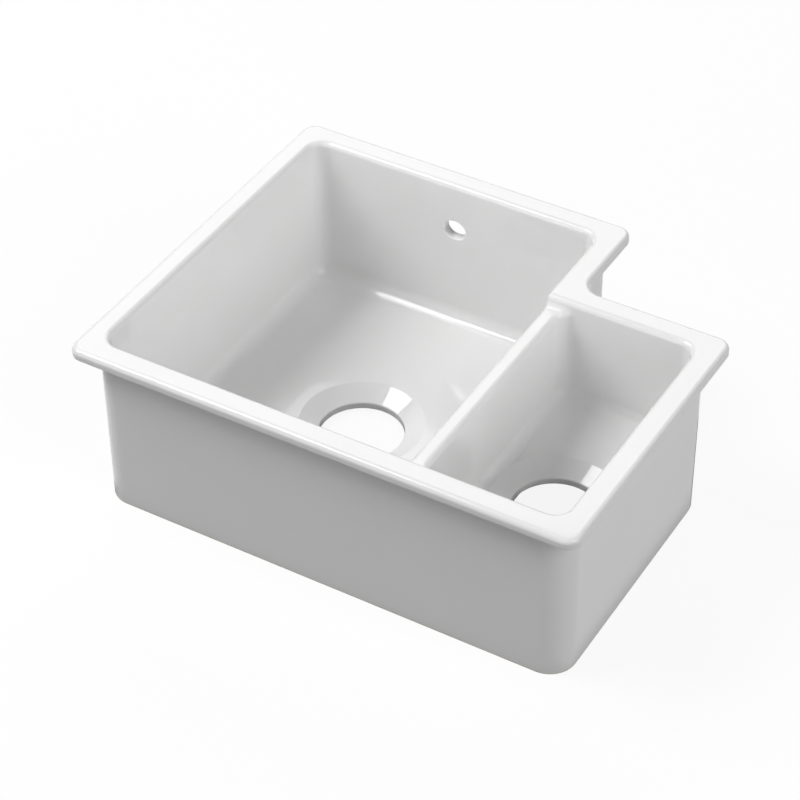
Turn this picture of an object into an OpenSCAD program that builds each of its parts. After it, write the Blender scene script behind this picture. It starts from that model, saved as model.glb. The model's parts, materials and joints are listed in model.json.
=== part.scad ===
// Undermount kitchen sink in glazed fireclay: a main bowl, a shallower small bowl
// to its right, and a notch behind the small bowl that leaves room for the tap.
// Millimetres, +Z up. X runs along the front, Y runs from front to back.
// The origin is under the middle of the overall box, on the plane the foot stands on.

/* [Overall] */
// Overall width along the front
sink_w = 548; // [500:1:620]
// Overall depth from front to back
sink_d = 440; // [420:1:500]
// Overall height from the foot to the top of the rim
sink_h = 194; // [193:1:230]
// Width of the notch for the tap, at the back right
notch_w = 163; // [160:1:168]
// Depth of the notch for the tap
notch_d = 112; // [80:1:140]

/* [Rim] */
// Thickness of the rim
rim_t = 11; // [10:0.5:16]
// How far the rim stands out from the wall below it
rim_overhang = 15; // [13:0.5:18]
// Radius of the rim's corners, seen from above
rim_corner_r = 15; // [10:0.5:25]
// Radius in the inner corner of the notch, seen from above
notch_corner_r = 18.5; // [12:0.5:30]
// Rounding of the rim's outer top edge
rim_edge_r = 5.5; // [2:0.5:7]
// Rounding of the edge where the rim turns down into the bowls
mouth_edge_r = 5.5; // [2:0.5:6]

/* [Bowls] */
// Width of the flat rim left of the main bowl
land_left = 24; // [22:0.5:30]
// Width of the flat rim in front of both bowls
land_front = 27.25; // [24:0.25:32]
// Width of the flat rim right of the small bowl
land_right = 27; // [24:0.5:32]
// Width of the flat rim behind both bowls
land_back = 26.5; // [25:0.5:36]
// Width of the flat rim between the main bowl and the notch
land_notch = 27.25; // [24:0.25:32]
// Radius of the bowls' upright corners
bowl_corner_r = 17; // [16.5:0.5:24]
// Radius of the rim's corner that stands out between the two bowls
nose_r = 7; // [6.5:0.5:8]
// Radius between the main bowl's floor and its walls
main_floor_r = 15.5; // [6:0.5:16.5]
// Radius between the small bowl's floor and its walls
small_floor_r = 10.5; // [6:0.5:16]
// Depth of the main bowl
main_depth = 173; // [150:1:174]
// Depth of the small bowl
small_depth = 120; // [80:1:130]
// Thickness of both bowls' floors
floor_t = 18.5; // [13:0.5:19]

/* [Divider] */
// Thickness of the wall between the bowls
divider_t = 18.25; // [14:0.25:20]
// How far the top of the divider lies below the rim
divider_drop = 12.75; // [8:0.25:30]
// Rounding of the divider's two long top edges
crest_r = 4; // [2:0.5:5]
// Radius where the divider's top sweeps up into the walls at its ends
crest_end_r = 7; // [4:0.5:12]

/* [Body] */
// Radius of the upright outer corners below the rim
skirt_corner_r = 28; // [15:0.5:40]
// Thickness of the foot, the lower edge of the outer walls
foot_t = 12; // [10:0.5:16]
// Radius in the corners of the hollows inside the foot
hollow_corner_r = 16; // [12:0.5:20]

/* [Waste and overflow holes] */
// Diameter of each waste hole
waste_d = 89; // [60:1:90]
// Diameter of the dished seat round each waste hole, at the floor
seat_d = 131; // [100:1:132]
// Depth of the dished seat
seat_h = 10.5; // [4:0.5:12]
// Distance from the left side to the middle of the main bowl's waste
main_waste_x = 194.75; // [185:0.25:200]
// Distance from the front to the middle of the main bowl's waste
main_waste_y = 216.75; // [200:0.25:240]
// Distance from the right side to the middle of the small bowl's waste
small_waste_x = 100.75; // [98:0.25:102]
// Distance from the front to the middle of the small bowl's waste
small_waste_y = 160; // [140:0.5:180]
// Diameter of the overflow hole
overflow_d = 24; // [20:0.5:34]
// Depth of the overflow hole's middle below the top of the rim
overflow_z = 56.5; // [45:0.5:80]
// Distance from the left side to the overflow hole's middle
overflow_x = 191.5; // [170:0.5:220]

/* [Threaded inserts] */
// Outer diameter of a brass insert
insert_d = 9; // [7:0.5:10]
// Length of a brass insert
insert_l = 7; // [5:0.5:8]
// Diameter of an insert's bore, for an M5 screw's thread
insert_bore_d = 4.2; // [3.5:0.1:5]
// Depth of an insert's bore
insert_bore_l = 6; // [4:0.5:6.5]
// Gap for the resin round an insert in its socket
insert_gap = 0.15; // [0.05:0.05:0.3]
// Depth of the shallow chamfer at an insert's mouth
insert_chamfer = 0.5; // [0.3:0.1:0.8]
// Distance from the rim's edge to the middle of an insert
insert_edge = 7.5; // [6.5:0.5:8]
// Distance of the first and last insert of a side from that side's ends
insert_end = 80; // [50:1:100]

/* [Hidden] */
$fn = 96;

// How far a cut runs past the surface that it opens
past = 1;

// Outer plan of the rim, with the front left corner at x = 0, y = 0
main_part_w = sink_w - notch_w;
small_part_d = sink_d - notch_d;

// Plan of the opening at the top: both bowls and the slot above the divider
open_x0 = land_left;
open_x1 = main_part_w - land_notch;
open_x2 = sink_w - land_right;
open_y0 = land_front;
open_y1 = small_part_d - land_back;
open_y2 = sink_d - land_back;

// The small bowl starts right of the divider
small_x0 = open_x1 + divider_t;

// Heights
rim_z = sink_h;
crest_z = rim_z - divider_drop;
main_floor_z = rim_z - main_depth;
small_floor_z = rim_z - small_depth;

// Middle of the small bowl's waste, from the left side
small_x = sink_w - small_waste_x;

// Corners of an L-shaped plan [left, notch, right, front, step, back], from the front
// left corner round to the back left one. The fourth corner is the reentrant one.
function ell_corners(e) = [
    [e[0], e[3]], [e[2], e[3]], [e[2], e[4]], [e[1], e[4]], [e[1], e[5]], [e[0], e[5]]
];
REENTRANT = 3;

// An L-shaped plan made smaller by a distance on every side
function inset_ell(e, by) = [e[0] + by, e[1] - by, e[2] - by, e[3] + by, e[4] - by, e[5] - by];

rim_ell = [0, main_part_w, sink_w, 0, small_part_d, sink_d];
open_ell = [open_x0, open_x1, open_x2, open_y0, open_y1, open_y2];

// Rectangle with four round corners, as a plan
module round_rect(x0, y0, x1, y1, r) {
    translate([x0 + r, y0]) square([x1 - x0 - 2 * r, y1 - y0]);
    translate([x0, y0 + r]) square([x1 - x0, y1 - y0 - 2 * r]);
    for (x = [x0 + r, x1 - r], y = [y0 + r, y1 - r])
        translate([x, y]) circle(r);
}

// L-shaped plan with round corners
module ell(e, corner_r, reentrant_r) {
    round_rect(e[0], e[3], e[1], e[5], corner_r);
    round_rect(e[0], e[3], e[2], e[4], corner_r);
    // Fill in the inner corner, with a piece that starts inside both arms
    translate([e[1], e[4]]) difference() {
        translate([-corner_r, -corner_r]) square(reentrant_r + corner_r);
        translate([reentrant_r, reentrant_r]) circle(reentrant_r);
    }
}

// Quarter of a disc, in the first quadrant
module quarter(r) {
    intersection() {
        circle(r);
        square(r);
    }
}

// Quarter-round bead that follows an L-shaped plan. It bulges out of the plan when
// side is 1, and into it when side is -1.
module bead(e, corner_r, reentrant_r, r, side) {
    p = ell_corners(e);
    for (i = [0:5]) {
        a = p[i];
        b = p[(i + 1) % 6];
        along = atan2(b[1] - a[1], b[0] - a[0]);
        cut_a = i == REENTRANT ? reentrant_r : corner_r;
        cut_b = (i + 1) % 6 == REENTRANT ? reentrant_r : corner_r;
        run = norm(b - a) - cut_a - cut_b;
        // The straight run from this corner to the next
        translate([a[0], a[1], 0]) rotate([0, 0, along])
            translate([cut_a, 0, 0]) rotate([90, 0, 90])
                linear_extrude(run) mirror([side > 0 ? 1 : 0, 0]) quarter(r);
        // The turn at the end of the run
        reentrant = (i + 1) % 6 == REENTRANT;
        turn_r = reentrant ? reentrant_r : corner_r;
        out = reentrant ? -side : side;
        turn_z = reentrant ? along : along - 90;
        translate([b[0], b[1], 0]) rotate([0, 0, along])
            translate([-turn_r, reentrant ? -turn_r : turn_r, 0])
                rotate([0, 0, turn_z - along])
                    rotate_extrude(angle = 90)
                        translate([turn_r, 0]) mirror([out > 0 ? 0 : 1, 0]) quarter(r);
    }
}

// The rim: a plate with its outer top edge rounded
module rim_plate() {
    translate([0, 0, rim_z - rim_t])
        linear_extrude(rim_t - rim_edge_r) ell(rim_ell, rim_corner_r, notch_corner_r);
    inner = inset_ell(rim_ell, rim_edge_r);
    inner_r = rim_corner_r - rim_edge_r;
    inner_notch_r = notch_corner_r + rim_edge_r;
    translate([0, 0, rim_z - rim_edge_r]) {
        linear_extrude(rim_edge_r) ell(inner, inner_r, inner_notch_r);
        bead(inner, inner_r, inner_notch_r, rim_edge_r, 1);
    }
}

// The outer walls below the rim
module outer_block() {
    linear_extrude(rim_z - rim_t)
        ell(inset_ell(rim_ell, rim_overhang), skirt_corner_r, notch_corner_r + rim_overhang);
}

// The space that is open above the divider, with the rim's edge rounded round it
module open_mouth() {
    translate([0, 0, crest_z])
        linear_extrude(divider_drop - mouth_edge_r) ell(open_ell, bowl_corner_r, nose_r);
    outer = inset_ell(open_ell, -mouth_edge_r);
    outer_r = bowl_corner_r + mouth_edge_r;
    outer_nose_r = nose_r - mouth_edge_r;
    translate([0, 0, rim_z - mouth_edge_r]) difference() {
        linear_extrude(mouth_edge_r + past) ell(outer, outer_r, outer_nose_r);
        bead(outer, outer_r, outer_nose_r, mouth_edge_r, -1);
    }
}

// One bowl below the crest, with a rounded edge round its floor
module bowl_space(x0, y0, x1, y1, floor_z, floor_r) {
    turn = bowl_corner_r - floor_r;
    translate([0, 0, floor_z + floor_r])
        linear_extrude(crest_z - floor_z - floor_r) round_rect(x0, y0, x1, y1, bowl_corner_r);
    translate([0, 0, floor_z]) {
        linear_extrude(floor_r)
            round_rect(x0 + floor_r, y0 + floor_r, x1 - floor_r, y1 - floor_r, turn);
        // Quarter rounds along the four sides
        long = x1 - x0 - 2 * bowl_corner_r;
        deep = y1 - y0 - 2 * bowl_corner_r;
        runs = [
            [x0 + bowl_corner_r, y0 + floor_r, 0, long],
            [x1 - floor_r, y0 + bowl_corner_r, 90, deep],
            [x1 - bowl_corner_r, y1 - floor_r, 180, long],
            [x0 + floor_r, y1 - bowl_corner_r, 270, deep]
        ];
        for (s = runs)
            translate([s[0], s[1], floor_r]) rotate([0, 0, s[2]]) rotate([90, 0, 90])
                linear_extrude(s[3]) rotate(180) quarter(floor_r);
        // Round turns in the four corners
        for (x = [0, 1], y = [0, 1])
            translate([x == 0 ? x0 + bowl_corner_r : x1 - bowl_corner_r,
                       y == 0 ? y0 + bowl_corner_r : y1 - bowl_corner_r, floor_r])
                rotate([0, 0, y == 0 ? (x == 0 ? 180 : 270) : (x == 0 ? 90 : 0)])
                    rotate_extrude(angle = 90)
                        translate([turn, 0]) mirror([0, 1]) quarter(floor_r);
    }
}

// Dished seat and hole for a waste
module waste_hole(x, y, floor_z) {
    translate([x, y, floor_z - seat_h]) {
        cylinder(h = seat_h, d1 = waste_d, d2 = seat_d);
        translate([0, 0, seat_h]) cylinder(h = past, d = seat_d);
    }
    translate([x, y, -past]) cylinder(h = floor_z + past, d = waste_d);
}

// Space inside the foot below one bowl. back is the rim's back edge there.
module hollow(x0, x1, back, h) {
    translate([0, 0, -past]) linear_extrude(h + past)
        round_rect(x0, rim_overhang + foot_t, x1, back - rim_overhang - foot_t,
                   hollow_corner_r);
}

// Section across the divider's crest, from its foot at height 0 upwards
module crest_section() {
    translate([crest_r, 0]) square([divider_t - 2 * crest_r, crest_r]);
    translate([divider_t - crest_r, 0]) quarter(crest_r);
    translate([crest_r, 0]) mirror([1, 0]) quarter(crest_r);
}

// The straight stretch of the divider, between the bowls' round corners
crest_y0 = open_y0 + bowl_corner_r;
crest_l = open_y1 - open_y0 - 2 * bowl_corner_r;

// The straight stretch's top, cut away so that it can be added with rounded edges
module crest_room() {
    translate([open_x1, crest_y0, crest_z - crest_r]) cube([divider_t, crest_l, crest_r]);
}

// The rounded top of the straight stretch
module crest() {
    translate([open_x1, crest_y0 + crest_l, crest_z - crest_r])
        rotate([90, 0, 0]) linear_extrude(crest_l) crest_section();
}

// Where the divider's top meets the walls at its two ends: it widens with the bowls'
// round corners, and sweeps up into the walls
module crest_ends() {
    x0 = open_x1 - bowl_corner_r;
    wide = divider_t + 2 * bowl_corner_r;
    translate([0, 0, crest_z]) difference() {
        linear_extrude(min(crest_end_r, divider_drop - mouth_edge_r)) difference() {
            translate([x0, open_y0]) square([wide, open_y1 - open_y0]);
            round_rect(open_x0, open_y0, open_x1, open_y2, bowl_corner_r);
            round_rect(small_x0, open_y0, open_x2, open_y1, bowl_corner_r);
        }
        translate([x0 - past, 0, 0]) rotate([90, 0, 90]) linear_extrude(wide + 2 * past) {
            for (y = [open_y0 + crest_end_r, open_y1 - crest_end_r])
                translate([y, crest_end_r]) circle(crest_end_r);
            translate([open_y0 + crest_end_r, 0])
                square([open_y1 - open_y0 - 2 * crest_end_r, crest_end_r + past]);
        }
    }
}

// Middles of the inserts in the rim's underside: two on each long side, and one midway
// along the small bowl's front and back
insert_main_x = [insert_end, main_part_w - insert_end];
insert_left_y = [insert_end, sink_d - insert_end];
insert_right_y = [insert_end, small_part_d - insert_end];
insert_small_x = (main_part_w + sink_w) / 2;
insert_places = concat(
    [for (x = insert_main_x, y = [insert_edge, sink_d - insert_edge]) [x, y]],
    [for (y = insert_left_y) [insert_edge, y]],
    [for (y = insert_right_y) [sink_w - insert_edge, y]],
    [for (y = [insert_edge, small_part_d - insert_edge]) [insert_small_x, y]]
);

// The one fireclay casting, glazed all over but for the foot
module fireclay_body() {
    color("#f4f5f6") translate([-sink_w / 2, -sink_d / 2, 0]) {
        difference() {
            union() {
                rim_plate();
                outer_block();
            }
            open_mouth();
            bowl_space(open_x0, open_y0, open_x1, open_y2, main_floor_z, main_floor_r);
            bowl_space(small_x0, open_y0, open_x2, open_y1, small_floor_z, small_floor_r);
            crest_room();
            waste_hole(main_waste_x, main_waste_y, main_floor_z);
            waste_hole(small_x, small_waste_y, small_floor_z);
            // Overflow hole through the back wall
            translate([overflow_x, sink_d, rim_z - overflow_z])
                rotate([90, 0, 0]) cylinder(h = land_back + past, d = overflow_d);
            // Hollows inside the foot: a shallow one below the main bowl, and a deep one
            // below the small bowl
            hollow(rim_overhang + foot_t, open_x1, sink_d, main_floor_z - floor_t);
            hollow(small_x0, sink_w - rim_overhang - foot_t, small_part_d,
                   small_floor_z - floor_t);
            // Blind sockets for the inserts
            for (p = insert_places)
                translate([p[0], p[1], rim_z - rim_t - past])
                    cylinder(h = insert_l + past, d = insert_d + 2 * insert_gap);
        }
        crest();
        crest_ends();
    }
}

// Brass inserts, flush with the rim's underside
module rim_inserts() {
    color("#b08d4a") translate([-sink_w / 2, -sink_d / 2, rim_z - rim_t])
        for (p = insert_places)
            translate([p[0], p[1], 0]) difference() {
                cylinder(h = insert_l, d = insert_d);
                translate([0, 0, -past]) cylinder(h = insert_bore_l + past, d = insert_bore_d);
                translate([0, 0, -past])
                    cylinder(h = insert_chamfer + past,
                             d1 = insert_bore_d + 2 * (insert_chamfer + past), d2 = insert_bore_d);
            }
}

fireclay_body();
rim_inserts();
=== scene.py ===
# %% [markdown]
# # A fireclay kitchen sink, modelled and glazed in Blender
# The object is an undermount sink: one casting of glazed fireclay with a deep main bowl, a
# shallower small bowl, and a notch behind the small bowl for the tap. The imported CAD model
# is loaded first. It gives the overall box, and the new casting is built to fill that box,
# so that both models share one frame.

# %% Load the frame
import json
import math

import bmesh
import bpy
from mathutils import Matrix, Vector

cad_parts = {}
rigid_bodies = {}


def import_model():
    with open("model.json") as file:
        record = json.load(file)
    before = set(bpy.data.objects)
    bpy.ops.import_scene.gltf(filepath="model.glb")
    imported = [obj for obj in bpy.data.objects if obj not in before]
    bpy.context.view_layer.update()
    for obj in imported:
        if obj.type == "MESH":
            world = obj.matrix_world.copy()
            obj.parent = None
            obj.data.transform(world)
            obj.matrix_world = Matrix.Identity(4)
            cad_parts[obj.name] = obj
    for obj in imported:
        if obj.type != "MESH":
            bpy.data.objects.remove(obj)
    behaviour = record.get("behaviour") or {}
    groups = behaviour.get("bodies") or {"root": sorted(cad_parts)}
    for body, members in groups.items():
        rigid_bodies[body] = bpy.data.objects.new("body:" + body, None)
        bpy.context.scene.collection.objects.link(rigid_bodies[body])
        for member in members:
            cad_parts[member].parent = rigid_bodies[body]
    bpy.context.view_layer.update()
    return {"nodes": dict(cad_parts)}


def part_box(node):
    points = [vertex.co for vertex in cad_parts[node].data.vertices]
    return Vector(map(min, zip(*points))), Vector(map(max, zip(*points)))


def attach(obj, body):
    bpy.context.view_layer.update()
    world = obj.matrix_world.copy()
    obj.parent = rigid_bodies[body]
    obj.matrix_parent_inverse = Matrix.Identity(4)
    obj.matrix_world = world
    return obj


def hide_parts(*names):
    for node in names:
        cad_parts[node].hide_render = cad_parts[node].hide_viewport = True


for unwanted in list(bpy.data.objects):
    bpy.data.objects.remove(unwanted)
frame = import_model()
MM = 0.001
body_low, body_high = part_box("fireclay_body")
left, front, foot = body_low
right, back, rim_top = body_high

# %% [markdown]
# ## The sizes that drive the shape
# A drawing of this sink would give the lands, which are the flat widths of the rim round
# the bowls, and then the depths. The same few numbers drive this mesh. The overall box comes
# from the CAD model, and each line of the plan lies a land away from it. Radii and smaller
# sizes are named further on, where each is first needed.

# %% Sizes of the casting
NOTCH_W = 163 * MM
NOTCH_D = 112 * MM
LEFT_LAND = 24 * MM
FRONT_LAND = 27.25 * MM
RIGHT_LAND = 27 * MM
MIDDLE_LAND = 27.25 * MM
SMALL_BACK_LAND = 26.5 * MM
MAIN_BACK_LAND = 26.5 * MM
DIVIDER_T = 18.25 * MM
DIVIDER_DROP = 12.75 * MM
MAIN_DEPTH = 173 * MM
SMALL_DEPTH = 120 * MM
FLOOR_T = 18.5 * MM

notch_x = right - NOTCH_W
notch_y = back - NOTCH_D
bowl_left = left + LEFT_LAND
divider_left = notch_x - MIDDLE_LAND
divider_right = divider_left + DIVIDER_T
bowl_right = right - RIGHT_LAND
bowl_front = front + FRONT_LAND
small_back = notch_y - SMALL_BACK_LAND
bowl_back = back - MAIN_BACK_LAND

crest = rim_top - DIVIDER_DROP
main_floor = rim_top - MAIN_DEPTH
small_floor = rim_top - SMALL_DEPTH
print("main bowl in mm:", round((divider_left - bowl_left) / MM, 1),
      "by", round((bowl_back - bowl_front) / MM, 1))

# %% [markdown]
# ## Plans with round corners
# Every level of the casting is a plan with round corners. One helper makes such a plan: it
# places the sharp corners as vertices, fills them with a face, and bevels each vertex by its
# own radius. At a square corner, a vertex bevel with a profile of 0.5 is a true arc, so the
# plan needs no table of points.

# %% Helpers: level faces with round corners
ARC_STEPS = 10
INWARD = 3


def plan_face(bm, corners, radii, z):
    """A level face with these corners, each rounded by its own radius."""
    others = set(bm.faces)
    verts = [bm.verts.new((x, y, z)) for x, y in corners]
    bm.faces.new(verts)
    for vert, radius in zip(verts, radii):
        if radius > 0:
            bmesh.ops.bevel(bm, geom=[vert], offset=radius, offset_type="OFFSET",
                            segments=ARC_STEPS, profile=0.5, affect="VERTICES", material=-1)
    return next(f for f in bm.faces if f not in others)


def plan_loop(bm, corners, radii, z):
    """The same plan as a loop of edges, with no face in it."""
    face = plan_face(bm, corners, radii, z)
    edges = list(face.edges)
    bmesh.ops.delete(bm, geom=[face], context="FACES_ONLY")
    return edges


def ell(x0, x1, x2, y0, y1, y2):
    """Corners of an L-shaped plan. The one at place INWARD points inwards."""
    return [(x0, y0), (x2, y0), (x2, y1), (x1, y1), (x1, y2), (x0, y2)]


def rectangle(x0, y0, x1, y1):
    """Corners of a rectangular plan."""
    return [(x0, y0), (x1, y0), (x1, y1), (x0, y1)]


# %% [markdown]
# ## Finding and moving pieces of a mesh
# bmesh operators return mixed lists of vertices, edges and faces. A few short helpers pick
# out one kind, find an edge by the place that it runs through, and extrude a loop of edges
# to a new height. Two small lengths say when places count as one and when heights are level,
# and two small angles say when faces are flat enough to be merged.

# %% Helpers: pick, cut and extrude
NEAR = 0.01 * MM
LEVEL = 0.001 * MM
FLAT_FILL = math.radians(0.5)
ONE_PLANE = math.radians(0.1)


def verts_of(geom):
    return [g for g in geom if isinstance(g, bmesh.types.BMVert)]


def edges_of(geom):
    return [g for g in geom if isinstance(g, bmesh.types.BMEdge)]


def faces_of(geom):
    return [g for g in geom if isinstance(g, bmesh.types.BMFace)]


def once_each(items):
    """The items without repeats, in their own order. A set's order would change each run."""
    return list(dict.fromkeys(items))


def vert_at(bm, x, y, z):
    """The vertex at a place, which has to be there."""
    place = Vector((x, y, z))
    found = min(bm.verts, key=lambda v: (v.co - place).length)
    if (found.co - place).length > NEAR:
        raise ValueError(f"no vertex at {tuple(place)}: the nearest is {tuple(found.co)}")
    return found


def cut_edge(bm, x, y, z):
    """Puts a vertex on the edge that runs through a place."""
    place = Vector((x, y, z))
    for edge in bm.edges:
        a, b = (v.co for v in edge.verts)
        along = (place - a).dot(b - a) / (b - a).length_squared
        if 0 < along < 1 and (a.lerp(b, along) - place).length < NEAR:
            return bmesh.utils.edge_split(edge, edge.verts[0], along)[1]
    raise ValueError(f"no edge runs through {tuple(place)}")


def level_with(part, z):
    """Whether an edge or a face lies level at a height."""
    return all(abs(v.co.z - z) < LEVEL for v in part.verts)


def extrude_by(bm, edges, offset):
    """Extrudes a loop of edges by an offset, and returns the new loop."""
    made = bmesh.ops.extrude_edge_only(bm, edges=edges)["geom"]
    bmesh.ops.translate(bm, verts=verts_of(made), vec=offset)
    fresh = set(verts_of(made))
    return [e for e in edges_of(made) if set(e.verts) <= fresh]


def extrude_to(bm, edges, z):
    """Extrudes a level loop of edges straight up or down to a height."""
    return extrude_by(bm, edges, (0, 0, z - edges[0].verts[0].co.z))


def fill_flat(bm, edges):
    """Fills the flat area between loops of edges, with as few faces as it takes."""
    filled = bmesh.ops.triangle_fill(bm, use_beauty=True, use_dissolve=False, edges=edges)["geom"]
    outline = set(edges)
    inner = once_each(e for f in faces_of(filled) for e in f.edges if e not in outline)
    bmesh.ops.dissolve_limit(bm, angle_limit=FLAT_FILL, use_dissolve_boundaries=False,
                             verts=[], edges=inner)


def circle_loop(bm, centre, radius, steps, axis="Z"):
    """A circle of edges round a centre, square to an axis."""
    turn = Matrix.Rotation(math.radians(90), 4, "X") if axis == "Y" else Matrix.Identity(4)
    made = bmesh.ops.create_circle(bm, cap_ends=False, radius=radius, segments=steps,
                                   matrix=Matrix.Translation(centre) @ turn)
    return once_each(e for v in made["verts"] for e in v.link_edges)


# %% [markdown]
# ## The mouth and the divider
# The mould of such a sink is two bowls under one L-shaped mouth, with a low wall between
# them. The mouth's plan is filled with one face at the height where the divider's ends meet
# the walls. Two lines of edges split that face into main bowl, divider and small bowl, and
# the divider's vertices are then lowered. They follow a quarter circle at each end, so its
# top sweeps up into the walls, as wet clay does where it is smoothed with a sponge.

# %% The mouth's plan, split by the divider
BOWL_CORNER = 17 * MM
CREST_SWEEP = 7 * MM
sink = bmesh.new()
spring = crest + CREST_SWEEP
mouth_corners = ell(bowl_left, divider_left, bowl_right, bowl_front, small_back, bowl_back)
mouth_radii = [BOWL_CORNER] * 6
mouth_radii[INWARD] = 0
mouth_face = plan_face(sink, mouth_corners, mouth_radii, spring)

quarter_turn = [math.radians(90) * i / ARC_STEPS for i in range(ARC_STEPS + 1)]
from_wall = [BOWL_CORNER * (1 - math.sin(t)) for t in quarter_turn]
flare = [BOWL_CORNER * (1 - math.cos(t)) for t in quarter_turn]
back_ys = [small_back - d for d in reversed(from_wall)]
front_ys = [bowl_front + d for d in from_wall]
left_line = [(divider_left, y) for y in back_ys]
left_line += [(divider_left - f, y) for f, y in zip(flare, front_ys)]
right_line = [(divider_right + f, y) for f, y in zip(reversed(flare), back_ys)]
right_line += [(divider_right + f, y) for f, y in zip(flare, front_ys)]

for x, y in (left_line[-1], right_line[0], right_line[-1]):
    cut_edge(sink, x, y, spring)
for line in (left_line, right_line):
    ends = [vert_at(sink, *line[0], spring), vert_at(sink, *line[-1], spring)]
    whole = next(f for f in sink.faces if all(v in f.verts for v in ends))
    bmesh.utils.face_split(whole, *ends, coords=[(x, y, spring) for x, y in line[1:-1]])
crest_left = [vert_at(sink, x, y, spring) for x, y in left_line]
crest_right = [vert_at(sink, x, y, spring) for x, y in right_line]
print("faces in the mouth:", len(sink.faces), "vertices:", len(sink.verts))

# %% The rows of the divider, and its sweep
mouth_outline = [e for e in sink.edges if e.is_boundary]
small_face = next(f for f in sink.faces if all(v in f.verts for v in crest_right)
                  and crest_left[0] not in f.verts)
main_face = next(f for f in sink.faces if all(v in f.verts for v in crest_left)
                 and crest_right[0] not in f.verts)
for a, b in zip(crest_left[1:-1], crest_right[1:-1]):
    bmesh.ops.connect_verts(sink, verts=[a, b])


def sweep_drop(y):
    """How far the divider's top lies below the sweep's upper end."""
    # A mesh keeps its places in single precision, so the same place read from the mesh and
    # taken from the plan differ a little. Rounding gives both the same drop.
    in_from_wall = round(min(y - bowl_front, small_back - y, CREST_SWEEP), 7)
    return math.sqrt(max(0, CREST_SWEEP ** 2 - (CREST_SWEEP - in_from_wall) ** 2))


extrude_to(sink, mouth_outline, rim_top)
for vert in crest_left + crest_right:
    vert.co.z = spring - sweep_drop(vert.co.y)
print("divider rows:", len(crest_left),
      "lowest at", round(min(v.co.z for v in crest_left) / MM, 1), "mm")

# %% [markdown]
# ## The bowls
# A bowl is its plan extruded down. The round between wall and floor is made the way a
# profile gauge would cut it: the floor face is inset a little and lowered a little, again
# and again, with steps that follow a quarter circle. The floor then falls gently to a waste
# hole, because each ring between wall and hole is lowered by its share of the fall.

# %% Helper: a bowl with a filleted floor and a dished waste
SIDE_STEPS = 8
WASTE_STEPS = 4 * (ARC_STEPS + SIDE_STEPS)
FLOOR_RINGS = 6
SEAT_R = 65.5 * MM
SEAT_H = 10.6 * MM
WASTE_R = 44.5 * MM


def merge_flat_wall(bm):
    """Removes the upright edges between faces that lie in one plane."""
    bm.normal_update()
    flat = []
    for edge in bm.edges:
        upright = (edge.verts[0].co - edge.verts[1].co).xy.length < LEVEL
        if upright and len(edge.link_faces) == 2 and edge.calc_face_angle() < ONE_PLANE:
            flat.append(edge)
    bmesh.ops.dissolve_edges(bm, edges=flat, use_verts=True, use_face_split=False)


def fillet_floor(bm, floor_face, radius):
    """Insets and lowers a level face in steps that follow a quarter circle."""
    for t0, t1 in zip(quarter_turn, quarter_turn[1:]):
        bmesh.ops.inset_region(bm, faces=[floor_face], use_even_offset=True,
                               thickness=radius * (math.cos(t0) - math.cos(t1)), depth=0)
        bmesh.ops.translate(bm, verts=list(floor_face.verts),
                            vec=(0, 0, radius * (math.sin(t0) - math.sin(t1))))


def sink_bowl(bm, plan, floor_z, radius, fall, waste):
    """Extrudes one bowl from its plan. Returns three loops of edges, from its waste's seat down."""
    made = bmesh.ops.extrude_face_region(bm, geom=[plan])["geom"]
    bmesh.ops.delete(bm, geom=[plan], context="FACES_ONLY")
    wall_foot = floor_z + fall + radius
    for vert in verts_of(made):
        vert.co.z = wall_foot
    merge_flat_wall(bm)
    floor_face = next(f for f in bm.faces if level_with(f, wall_foot))
    sides = [e for e in floor_face.edges if e.calc_length() > 2 * BOWL_CORNER]
    bmesh.ops.bisect_edges(bm, edges=sides, cuts=SIDE_STEPS - 1)
    fillet_floor(bm, floor_face, radius)
    rim_of_floor = list(floor_face.edges)
    bmesh.ops.delete(bm, geom=[floor_face], context="FACES_ONLY")
    seat = circle_loop(bm, Vector((*waste, floor_z)), SEAT_R, WASTE_STEPS)
    spokes = bmesh.ops.bridge_loops(bm, edges=rim_of_floor + seat)["edges"]
    rings = bmesh.ops.subdivide_edges(bm, edges=spokes, cuts=FLOOR_RINGS, use_grid_fill=True)
    for vert in verts_of(rings["geom_inner"]):
        share = (vert.co.z - floor_z) / fall
        vert.co.z = floor_z + fall * (1 - (1 - share) ** 2)
    dish = bmesh.ops.extrude_edge_only(bm, edges=seat)["geom"]
    hole = Matrix.Translation((*waste, floor_z))
    bmesh.ops.scale(bm, verts=verts_of(dish), space=hole.inverted(),
                    vec=(WASTE_R / SEAT_R, WASTE_R / SEAT_R, 1))
    bmesh.ops.translate(bm, verts=verts_of(dish), vec=(0, 0, -SEAT_H))
    seat_verts = {v for e in seat for v in e.verts}
    throat = [e for e in edges_of(dish) if not seat_verts & set(e.verts)]
    return {"seat": seat, "throat": throat, "under": extrude_to(bm, throat, floor_z - FLOOR_T)}


# %% The two bowls
MAIN_FILLET = 15.5 * MM
MAIN_FALL = 2 * MM
MAIN_WASTE_IN = (194.75 * MM, 216.75 * MM)
SMALL_FILLET = 10.5 * MM
SMALL_FALL = 4.6 * MM
SMALL_WASTE_IN = (100.75 * MM, 160 * MM)
main_waste = (left + MAIN_WASTE_IN[0], front + MAIN_WASTE_IN[1])
small_waste = (right - SMALL_WASTE_IN[0], front + SMALL_WASTE_IN[1])
main_hole = sink_bowl(sink, main_face, main_floor, MAIN_FILLET, MAIN_FALL, main_waste)
small_hole = sink_bowl(sink, small_face, small_floor, SMALL_FILLET, SMALL_FALL, small_waste)
print("bowls: faces", len(sink.faces), "waste at", [round(v / MM, 1) for v in main_waste])

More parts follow.
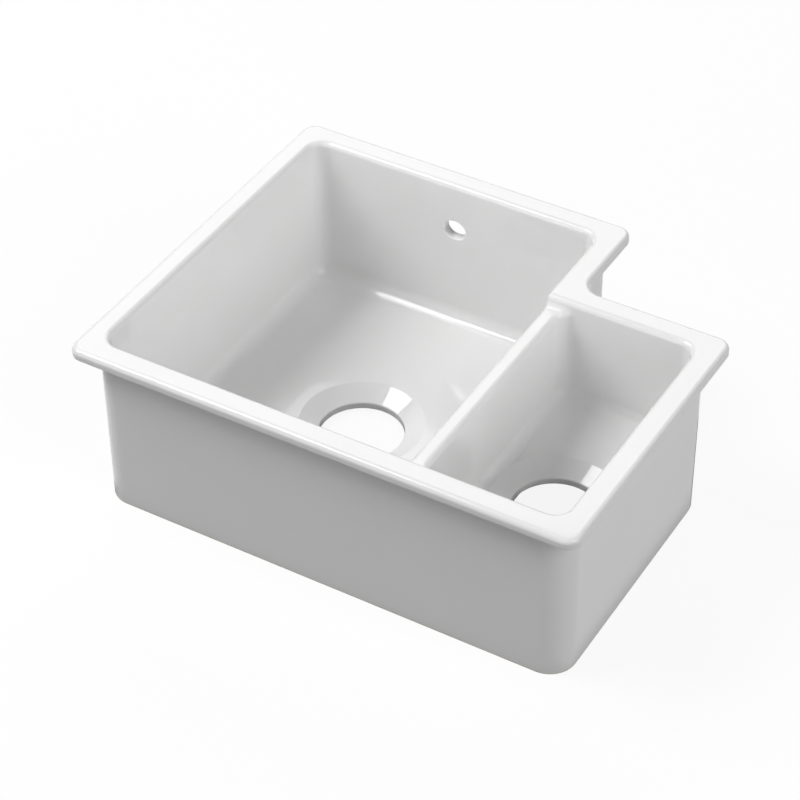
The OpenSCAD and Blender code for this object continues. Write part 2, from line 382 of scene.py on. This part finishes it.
# %% [markdown]
# ## The rim, the outer walls and the foot
# The outside is a stack of the same L-shaped plan: the rim, then its underside, which steps
# in to the walls, then the foot. The walls' corners are rounder than the rim's. Each socket
# in the underside starts as a circle of edges in the plan, is extruded up and is closed.
# Below, the casting is hollow, with a shallow recess under the main bowl and a deep one under
# the small bowl, where its waste pipe goes.

# %% Outer faces
RIM_T = 11 * MM
OVERHANG = 15 * MM
RIM_CORNER = 15 * MM
NOTCH_CORNER = 18.5 * MM
SKIRT_CORNER = 28 * MM
rim_under = rim_top - RIM_T
rim_radii = [RIM_CORNER] * 6
rim_radii[INWARD] = NOTCH_CORNER
skirt_radii = [SKIRT_CORNER] * 6
skirt_radii[INWARD] = NOTCH_CORNER + OVERHANG
mouth_loop = [e for e in sink.edges if e.is_boundary and level_with(e, rim_top)]
rim_loop = plan_loop(sink, ell(left, notch_x, right, front, notch_y, back), rim_radii, rim_top)
fill_flat(sink, mouth_loop + rim_loop)
rim_low_loop = extrude_to(sink, rim_loop, rim_under)
skirt_corners = ell(left + OVERHANG, notch_x - OVERHANG, right - OVERHANG,
                    front + OVERHANG, notch_y - OVERHANG, back - OVERHANG)
skirt_loop = plan_loop(sink, skirt_corners, skirt_radii, rim_under)
foot_loop = extrude_to(sink, skirt_loop, foot)
print("edges in the rim's outline:", len(rim_loop), "and in the walls':", len(skirt_loop))

# %% The rim's underside, with a blind socket for each insert
INSERT_IN = 7.5 * MM
INSERT_END = 80 * MM
SOCKET_R = 4.65 * MM
SOCKET_L = 7 * MM
SOCKET_STEPS = 24
socket_places = [(x, y) for x in (left + INSERT_END, notch_x - INSERT_END)
                 for y in (front + INSERT_IN, back - INSERT_IN)]
socket_places += [(left + INSERT_IN, y) for y in (front + INSERT_END, back - INSERT_END)]
socket_places += [(right - INSERT_IN, y) for y in (front + INSERT_END, notch_y - INSERT_END)]
socket_places += [((notch_x + right) / 2, y) for y in (front + INSERT_IN, notch_y - INSERT_IN)]
socket_loops = []
for x, y in socket_places:
    socket_loops += circle_loop(sink, Vector((x, y, rim_under)), SOCKET_R, SOCKET_STEPS)
fill_flat(sink, rim_low_loop + skirt_loop + socket_loops)
socket_ends = extrude_to(sink, socket_loops, rim_under + SOCKET_L)
bmesh.ops.edgenet_fill(sink, edges=socket_ends)
print("sockets:", len(socket_places))

# %% Hollows inside the foot
FOOT_T = 12 * MM
HOLLOW_CORNER = 16 * MM
foot_in = OVERHANG + FOOT_T
hollow_radii = [HOLLOW_CORNER] * 4
main_hollow = plan_loop(sink, rectangle(left + foot_in, front + foot_in,
                                        divider_left, back - foot_in), hollow_radii, foot)
small_hollow = plan_loop(sink, rectangle(divider_right, front + foot_in,
                                         right - foot_in, notch_y - foot_in), hollow_radii, foot)
fill_flat(sink, foot_loop + main_hollow + small_hollow)
hollow_tops = []
for loop, floor_z, hole in ((main_hollow, main_floor, main_hole),
                            (small_hollow, small_floor, small_hole)):
    ceiling = extrude_to(sink, loop, floor_z - FLOOR_T)
    fill_flat(sink, ceiling + hole["under"])
    hollow_tops += ceiling
print("outside closed: faces", len(sink.faces), "open edges",
      sum(e.is_boundary for e in sink.edges))

# %% [markdown]
# ## The overflow hole
# The overflow goes straight through the back wall. The flat face of the wall is taken out, a
# circle of edges is put in its place, and the area between its outline and the circle is
# filled again. The circle is then extruded through the wall, and the outer face is opened the
# same way. No boolean is needed, so the hole keeps its ring of edges to round. In the
# photograph the hole is a little wider than it is high, as a hole cut in soft clay would be,
# so the circle is flattened first.

# %% Helpers: open a wall for a hole
# From this cosine up, two directions count as the same.
SAME_WAY = 0.999


def face_through(bm, place, normal):
    """The face that holds a place and faces along a line."""
    bm.normal_update()
    for face in bm.faces:
        offset = (place - face.verts[0].co).dot(face.normal)
        if abs(face.normal.dot(normal)) > SAME_WAY and abs(offset) < NEAR:
            if bmesh.geometry.intersect_face_point(face, place):
                return face
    raise ValueError(f"no face at {tuple(place)}")


def open_wall(bm, place, circle):
    """Opens a circle of edges in the wall that faces along Y at a place."""
    face = face_through(bm, place, Vector((0, 1, 0)))
    outline = list(face.edges)
    bmesh.ops.delete(bm, geom=[face], context="FACES_ONLY")
    fill_flat(bm, outline + circle)


# %% Overflow hole
OVERFLOW_R = 13 * MM
OVERFLOW_FLATTER = 0.86
OVERFLOW_IN = 191.5 * MM
OVERFLOW_DEPTH = 56.5 * MM
OVERFLOW_STEPS = 48
overflow_at = Vector((left + OVERFLOW_IN, bowl_back, rim_top - OVERFLOW_DEPTH))
through_wall = Vector((0, back - OVERHANG - bowl_back, 0))
overflow_in = circle_loop(sink, overflow_at, OVERFLOW_R, OVERFLOW_STEPS, "Y")
for vert in once_each(v for e in overflow_in for v in e.verts):
    vert.co.z = overflow_at.z + (vert.co.z - overflow_at.z) * OVERFLOW_FLATTER
overflow_out = extrude_by(sink, overflow_in, through_wall)
open_wall(sink, overflow_at, overflow_in)
open_wall(sink, overflow_at + through_wall, overflow_out)
print("overflow through", round(through_wall.y / MM, 1), "mm, open edges",
      sum(e.is_boundary for e in sink.edges))

# %% [markdown]
# ## Soft edges
# Glaze is a melted glass, so no edge of a fired sink is sharp. Bevels with a profile of 0.5
# round them as true arcs. The mouth, the corner that stands out between the bowls and the
# two long edges of the divider share corners, so they are bevelled in one go, and the
# operator blends them where they meet.

# %% Helpers: chains of edges and their rounding
def chain(bm, verts):
    """The edges that join these vertices one after the other."""
    return [bm.edges.get(pair) for pair in zip(verts, verts[1:])]


def round_edges(bm, edges, radius, steps):
    """Bevels edges to a radius."""
    bmesh.ops.bevel(bm, geom=edges, offset=radius, offset_type="OFFSET", segments=steps,
                    profile=0.5, affect="EDGES", material=-1)


# %% Round the edges
MOUTH_EDGE = 5.7 * MM
RIM_EDGE = 5.6 * MM
RIM_LOW_EDGE = 1.2 * MM
SKIRT_EDGE = 2 * MM
SOCKET_EDGE = 0.4 * MM
FOOT_EDGE = 1 * MM
HOLLOW_EDGE = 2 * MM
CEILING_EDGE = 1.2 * MM
WASTE_EDGE = 1.2 * MM
OVERFLOW_IN_EDGE = 1.5 * MM
OVERFLOW_OUT_EDGE = 0.8 * MM

crest_left = [vert_at(sink, x, y, spring - sweep_drop(y)) for x, y in left_line]
crest_right = [vert_at(sink, x, y, spring - sweep_drop(y)) for x, y in right_line]
nose = [vert_at(sink, divider_left, small_back, rim_top), crest_left[0]]
crest_edges = chain(sink, nose) + chain(sink, crest_left) + chain(sink, crest_right)
round_edges(sink, mouth_loop + crest_edges, MOUTH_EDGE, steps=8)
round_edges(sink, rim_loop, RIM_EDGE, steps=8)
round_edges(sink, rim_low_loop, RIM_LOW_EDGE, steps=3)
round_edges(sink, skirt_loop, SKIRT_EDGE, steps=4)
round_edges(sink, socket_loops, SOCKET_EDGE, steps=2)
round_edges(sink, foot_loop, FOOT_EDGE, steps=3)
round_edges(sink, main_hollow + small_hollow, HOLLOW_EDGE, steps=3)
round_edges(sink, hollow_tops, CEILING_EDGE, steps=3)
for hole in (main_hole, small_hole):
    round_edges(sink, hole["seat"], WASTE_EDGE, steps=3)
    round_edges(sink, hole["throat"] + hole["under"], WASTE_EDGE, steps=3)
round_edges(sink, overflow_in, OVERFLOW_IN_EDGE, steps=3)
round_edges(sink, overflow_out, OVERFLOW_OUT_EDGE, steps=2)
bmesh.ops.remove_doubles(sink, verts=sink.verts, dist=NEAR)
bmesh.ops.recalc_face_normals(sink, faces=sink.faces)
print("rounded: faces", len(sink.faces), "open edges", sum(e.is_boundary for e in sink.edges),
      "volume in litres", round(sink.calc_volume() * 1000, 3))

# %% [markdown]
# ## The casting as an object
# A real glaze flows over flat and round stretches without a line between them. Smooth
# shading does that, and a Weighted Normal modifier lets the large faces lead, so that they
# stay flat.

# %% Helpers: objects in the scene
def add_to_scene(name, data):
    """A new object with this data, at the origin and linked into the scene."""
    obj = bpy.data.objects.new(name, data)
    bpy.context.scene.collection.objects.link(obj)
    return obj


def to_object(bm, name):
    """Turns a bmesh into an object of the scene."""
    mesh = bpy.data.meshes.new(name)
    bm.to_mesh(mesh)
    bm.free()
    return add_to_scene(name, mesh)


# %% The casting
casting = to_object(sink, "glazed_casting")
casting.data.shade_smooth()
weighted = casting.modifiers.new("Flat faces stay flat", "WEIGHTED_NORMAL")
weighted.mode = "FACE_AREA"
weighted.weight = 80
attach(casting, "root")
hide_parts("fireclay_body")
print(casting.name, "has", len(casting.data.polygons), "faces")

# %% [markdown]
# ## Shader maths in Python
# A node graph is easier to read as a formula. One small class wraps a socket, so that a sum
# or a product of two values adds its own Math nodes. Every other node comes from its method
# "node", which sets the node's options first and then feeds its sockets.

# %% A class for shader formulas
class Shade:
    """One socket of a node tree. Python's operators on it add Math nodes."""

    def __init__(self, tree, socket=None):
        self.tree = tree
        self.socket = socket

    def feed(self, target, value):
        """Links or sets a socket of a node."""
        if isinstance(value, Shade):
            self.tree.links.new(value.socket, target)
        else:
            target.default_value = value

    def node(self, kind, settings, values, output=0):
        """Adds a node. settings are its options, values feed its sockets by name or number."""
        made = self.tree.nodes.new("ShaderNode" + kind)
        for name, setting in settings.items():
            setattr(made, name, setting)
        for name, value in values.items():
            self.feed(made.inputs[name], value)
        return Shade(self.tree, made.outputs[output])

    def math(self, operation, a, b):
        return self.node("Math", {"operation": operation}, {0: a, 1: b})

    def __add__(self, other):
        return self.math("ADD", self, other)

    def __radd__(self, other):
        return self.math("ADD", other, self)

    def __sub__(self, other):
        return self.math("SUBTRACT", self, other)

    def __rsub__(self, other):
        return self.math("SUBTRACT", other, self)

    def __mul__(self, other):
        return self.math("MULTIPLY", self, other)

    def __rmul__(self, other):
        return self.math("MULTIPLY", other, self)

    def __abs__(self):
        return self.node("Math", {"operation": "ABSOLUTE"}, {0: self})

    def larger(self, other):
        return self.math("MAXIMUM", self, other)

    def step(self, low, high):
        """0 below low, 1 above high, and a smooth ramp between them."""
        ramp = {"interpolation_type": "SMOOTHSTEP"}
        return self.node("MapRange", ramp, {0: self, 1: low, 2: high})


# %% Helpers: materials, noise, limits, relief and colours
def new_material(name):
    """A material with an empty Principled shader, and a Shade to build its formulas with."""
    material = bpy.data.materials.new(name)
    material.use_nodes = True
    return material, material.node_tree.nodes["Principled BSDF"], Shade(material.node_tree)


def noise(shade, place, size, detail=2, roughness=0.5):
    """Soft noise from 0 to 1, whose lumps are about this size in metres."""
    values = {"Vector": place, "Scale": 1 / size, "Detail": detail, "Roughness": roughness}
    return shade.node("TexNoise", {}, values)


def within(value, low, high, soft):
    """1 between two limits, 0 outside them, with soft ends inside the limits."""
    return value.step(low, low + soft) * (1 - value.step(high - soft, high))


def relief(shade, height):
    """The normal of a surface that rises by this height in metres."""
    return shade.node("Bump", {}, {"Height": height, "Distance": 1, "Strength": 1})


def blend_colours(shade, share, a, b):
    """Two colours mixed by a share from 0 to 1."""
    return shade.node("Mix", {"data_type": "RGBA"}, {0: share, 6: a, 7: b}, 2)


# %% [markdown]
# ## White glaze over fireclay
# The sink is dipped or sprayed with an opaque white glaze and fired once more. The glaze is
# a glass, so it is very glossy, and it is never quite flat: it has slow waves, a few
# centimetres long and some hundredths of a millimetre high, and a fine peel a few
# millimetres across. Both only show where a reflection bends. The foot is wiped before the
# firing, or the sink would stick to the kiln's shelf, and the hollows below are left bare.
# One material holds both surfaces, and a mask from the casting's own sizes parts them.

# %% Where the clay is bare
WIPED_LEAST = 1.2 * MM
WIPED_MORE = 0.9 * MM
WIPED_SOFT = 0.3 * MM
HOLLOW_SOFT = 1 * MM
CEILING_SOFT = 0.5 * MM
glaze, glaze_shader, shade = new_material("white_glaze_on_fireclay")
place = shade.node("TexCoord", {}, {}, "Object")
at_x, at_y, at_z = (shade.node("SeparateXYZ", {}, {0: place}, axis) for axis in "XYZ")


def hollow_mask(x0, x1, y0, y1, ceiling):
    """1 in a hollow below its ceiling, 0 elsewhere."""
    inside_x = within(at_x, x0 - HOLLOW_SOFT, x1 + HOLLOW_SOFT, HOLLOW_SOFT)
    inside_y = within(at_y, y0 - HOLLOW_SOFT, y1 + HOLLOW_SOFT, HOLLOW_SOFT)
    return inside_x * inside_y * (1 - at_z.step(ceiling, ceiling + CEILING_SOFT))


wiped_to = foot + WIPED_LEAST + noise(shade, place, size=9 * MM) * WIPED_MORE
foot_mask = (wiped_to - at_z).step(0, WIPED_SOFT)
main_mask = hollow_mask(left + foot_in, divider_left, front + foot_in, back - foot_in,
                        main_floor - FLOOR_T)
small_mask = hollow_mask(divider_right, right - foot_in, front + foot_in, notch_y - foot_in,
                         small_floor - FLOOR_T)
bare = foot_mask.larger(main_mask.larger(small_mask))
print("bare clay: the foot up to", round((WIPED_LEAST + WIPED_MORE) / MM, 1),
      "mm at most, and the two hollows")

# %% Colours of glaze and clay
GLAZE_WHITE = (0.88, 0.88, 0.88, 1)
GLAZE_MILKY = (0.87, 0.872, 0.868, 1)
CLAY_BUFF = (0.56, 0.44, 0.31, 1)
CLAY_PALE = (0.68, 0.57, 0.44, 1)
GROG_DARK = (0.30, 0.21, 0.14, 1)
thickness = noise(shade, place, size=70 * MM, detail=3)
glaze_colour = blend_colours(shade, thickness.step(0.35, 0.65), GLAZE_WHITE, GLAZE_MILKY)
clay_cloud = noise(shade, place, size=14 * MM, detail=4)
clay_colour = blend_colours(shade, clay_cloud.step(0.3, 0.7), CLAY_BUFF, CLAY_PALE)
grog = noise(shade, place, size=1.3 * MM, detail=1).step(0.68, 0.72)
clay_colour = blend_colours(shade, grog, clay_colour, GROG_DARK)
colour = blend_colours(shade, bare, glaze_colour, clay_colour)
shade.feed(glaze_shader.inputs["Base Color"], colour)
print("nodes for the colours:", len(glaze.node_tree.nodes))

# %% Gloss and surface of glaze and clay
GLAZE_ROUGH = 0.045
GLAZE_ROUGH_MORE = 0.02
GLAZE_IOR = 1.52
CLAY_ROUGH = 0.8
CLAY_ROUGH_MORE = 0.12
WAVE_HEIGHT = 0.05 * MM
PEEL_HEIGHT = 0.0015 * MM
GRAIN_HEIGHT = 0.12 * MM
glaze_rough = GLAZE_ROUGH + noise(shade, place, size=35 * MM) * GLAZE_ROUGH_MORE
clay_rough = CLAY_ROUGH + clay_cloud * CLAY_ROUGH_MORE
shade.feed(glaze_shader.inputs["Roughness"], glaze_rough * (1 - bare) + clay_rough * bare)
glaze_shader.inputs["IOR"].default_value = GLAZE_IOR

slow_waves = noise(shade, place, size=45 * MM, detail=1) * WAVE_HEIGHT
peel = noise(shade, place, size=5 * MM, detail=1) * PEEL_HEIGHT
grain = noise(shade, place, size=0.9 * MM, detail=3, roughness=0.6) * GRAIN_HEIGHT
height = (slow_waves + peel) * (1 - bare) + grain * bare
shade.feed(glaze_shader.inputs["Normal"], relief(shade, height))
casting.data.materials.append(glaze)
print("glaze nodes:", len(glaze.node_tree.nodes))

# %% [markdown]
# ## Brass inserts
# The ten inserts keep their CAD shape, which is right as it is. They are turned from free
# cutting brass, so they carry fine marks of the tool and a little tarnish. Fine noise in
# the relief and slower noise in the colour are enough for pieces this small.

# %% Brass
BRASS_YELLOW = (0.72, 0.53, 0.24, 1)
BRASS_TARNISHED = (0.48, 0.33, 0.15, 1)
BRASS_ROUGH = 0.24
BRASS_ROUGH_MORE = 0.22
MARK_HEIGHT = 0.01 * MM
brass, brass_shader, shade = new_material("turned_brass")
place = shade.node("TexCoord", {}, {}, "Object")
tarnish = noise(shade, place, size=3 * MM, detail=3)
brass_colour = blend_colours(shade, tarnish.step(0.4, 0.75), BRASS_YELLOW, BRASS_TARNISHED)
shade.feed(brass_shader.inputs["Base Color"], brass_colour)
brass_shader.inputs["Metallic"].default_value = 1
shade.feed(brass_shader.inputs["Roughness"], BRASS_ROUGH + tarnish * BRASS_ROUGH_MORE)
marks = noise(shade, place, size=0.35 * MM, detail=2, roughness=0.7) * MARK_HEIGHT
shade.feed(brass_shader.inputs["Normal"], relief(shade, marks))
inserts = frame["nodes"]["rim_inserts"]
inserts.data.materials.clear()
inserts.data.materials.append(brass)
print("brass on", inserts.name)

# %% [markdown]
# ## The camera
# The camera was solved from the straight edges of the photograph and then refined together
# with the sizes. It is a long lens a little over two and a half metres away, forty degrees
# above the floor and thirty degrees to the right of the sink's front.

# %% Camera
LENS = 117.9
SENSOR = 36
SHIFT = (-0.0404, 0.0096)
CAMERA_AT = (0.99456, -1.72036, 1.77046)
LOOK_DOWN = 40.5035
ROLL = 0.0057
TURN = 29.963
camera_data = bpy.data.cameras.new("camera")
camera_data.lens = LENS
camera_data.sensor_width = SENSOR
camera_data.shift_x, camera_data.shift_y = SHIFT
camera = add_to_scene("camera", camera_data)
camera.location = CAMERA_AT
camera.rotation_euler = [math.radians(angle) for angle in (90 - LOOK_DOWN, ROLL, TURN)]
bpy.context.scene.camera = camera
print("camera:", LENS, "mm lens,", round(Vector(CAMERA_AT).length, 2), "m from the origin")

# %% [markdown]
# ## The floor
# The photograph has a pure white ground. The floor shows white to the camera and in
# reflections, mixed with a little of its own lit surface, which keeps the sink's soft
# shadow. The photograph's sink gets hardly any light from below, so to all other rays the
# floor is nearly black. Under the sink's footprint the white is left out of reflections,
# so reflections there show the nearly black lit floor: a painted shadow of the sink.

# %% Floor
FLOOR_HALF = 6.0
FLOOR_BELOW = 0.1 * MM
SHADOW_SHARE = 0.1
DARK_FLOOR = 0.03
PALE_FLOOR_MORE = 0.92
FLOOR_ROUGH = 0.9
PURE_WHITE = (1, 1, 1, 1)
# Soft edge of the painted shadow under the sink's footprint.
PAINTED_SHADOW_SOFT = 25 * MM
floor_mesh = bmesh.new()
bmesh.ops.create_grid(floor_mesh, x_segments=1, y_segments=1, size=FLOOR_HALF,
                      matrix=Matrix.Translation((0, 0, foot - FLOOR_BELOW)))
floor = to_object(floor_mesh, "floor")

ground, ground_shader, shade = new_material("white ground")
ground_shader.inputs["Roughness"].default_value = FLOOR_ROUGH
ground_shader.inputs["Specular IOR Level"].default_value = 0
camera_ray, glossy_ray, through_ray = (shade.node("LightPath", {}, {}, name) for name in
                                       ("Is Camera Ray", "Is Glossy Ray", "Is Transmission Ray"))
place = shade.node("TexCoord", {}, {}, "Object")
at_x, at_y = (shade.node("SeparateXYZ", {}, {0: place}, axis) for axis in "XY")
# Painted shadow: inside the sink's footprint, reflections of the floor get none of its white.
past_x = abs(at_x).step(right - PAINTED_SHADOW_SOFT, right)
past_y = abs(at_y).step(back - PAINTED_SHADOW_SOFT, back)
floor_outside_painted_shadow = past_x.larger(past_y)
# White for the camera everywhere, and for reflections only outside the painted shadow.
white_share = camera_ray.larger(glossy_ray.larger(through_ray) * floor_outside_painted_shadow) * (1 - SHADOW_SHARE)
shade.feed(ground_shader.inputs["Base Color"], DARK_FLOOR + camera_ray * PALE_FLOOR_MORE)
plain_white = shade.node("Emission", {}, {"Color": PURE_WHITE, "Strength": 1})
lit = Shade(shade.tree, ground_shader.outputs[0])
surface = shade.node("MixShader", {}, {0: white_share, 1: lit, 2: plain_white})
shade.feed(ground.node_tree.nodes["Material Output"].inputs["Surface"], surface)
floor.data.materials.append(ground)
print("the floor shows", round(100 * (1 - SHADOW_SHARE)), "parts white and",
      round(100 * SHADOW_SHARE), "parts lit surface")

# %% [markdown]
# ## Lights
# The highlights in the photograph were followed back to their lamps. A large softbox hangs
# to the left of the sink, a tall and weaker one stands on its right, a third one behind it
# lays a soft sheen over everything level, and a low one fills the front. Each is placed by
# its compass direction and its height above the horizon in degrees, and its brightness is
# given as a multiple of paper white. The room adds a dim band of light along the horizon
# and next to nothing above it. The camera sees that room as plain white.

# %% Softboxes
LAMP_DISTANCE = 6.0
LAMP_TARGET = Vector((0, 0, 0.15))


def softbox(name, azimuth, elevation, roll, wide, high, brightness):
    """A far rectangular lamp that faces the sink."""
    data = bpy.data.lights.new(name, "AREA")
    data.shape = "RECTANGLE"
    data.size = wide
    data.size_y = high
    # A flat lamp glows by its power over pi times its area.
    data.energy = math.pi * wide * high * brightness
    level = math.cos(math.radians(elevation))
    toward = Vector((level * math.cos(math.radians(azimuth)),
                     level * math.sin(math.radians(azimuth)), math.sin(math.radians(elevation))))
    turn = toward.to_track_quat("Z", "Y").to_matrix().to_4x4()
    lamp = add_to_scene(name, data)
    lamp.matrix_world = (Matrix.Translation(LAMP_TARGET + toward * LAMP_DISTANCE) @ turn
                         @ Matrix.Rotation(math.radians(roll), 4, "Z"))
    print(name, wide, "by", high, "m,", brightness, "times white")


softbox("main_softbox", azimuth=-159.5, elevation=51.5, roll=-6,
        wide=3.1, high=3.2, brightness=8.6)
softbox("right_softbox", azimuth=-11.9, elevation=31.4, roll=22.3,
        wide=3.82, high=5.52, brightness=3.05)
softbox("back_softbox", azimuth=112.7, elevation=32.7, roll=0.4,
        wide=5.02, high=2.72, brightness=2.25)
softbox("front_softbox", azimuth=-113, elevation=12.5, roll=0,
        wide=6.0, high=2.5, brightness=1.4)

# %% The room
ROOM = 0.01
HORIZON = 0.33
BAND_FULL_TO = 0.16
BAND_ENDS_AT = 0.26
world = bpy.data.worlds.new("studio")
bpy.context.scene.world = world
world.use_nodes = True
world.node_tree.nodes.clear()
shade = Shade(world.node_tree)
camera_ray = shade.node("LightPath", {}, {}, "Is Camera Ray")
direction = shade.node("TexCoord", {}, {}, "Generated")
rise = shade.node("SeparateXYZ", {}, {0: direction}, "Z")
room_light = ROOM + (1 - rise.step(BAND_FULL_TO, BAND_ENDS_AT)) * HORIZON
room = shade.node("Background", {}, {"Color": PURE_WHITE, "Strength": room_light})
white = shade.node("Background", {}, {"Color": PURE_WHITE, "Strength": 1})
shown = shade.node("MixShader", {}, {0: camera_ray, 1: room, 2: white})
world_out = world.node_tree.nodes.new("ShaderNodeOutputWorld")
shade.feed(world_out.inputs["Surface"], shown)
bpy.context.scene.view_settings.view_transform = "Standard"
print("the room's band of light ends", round(math.degrees(math.asin(BAND_ENDS_AT))),
      "degrees above the horizon")
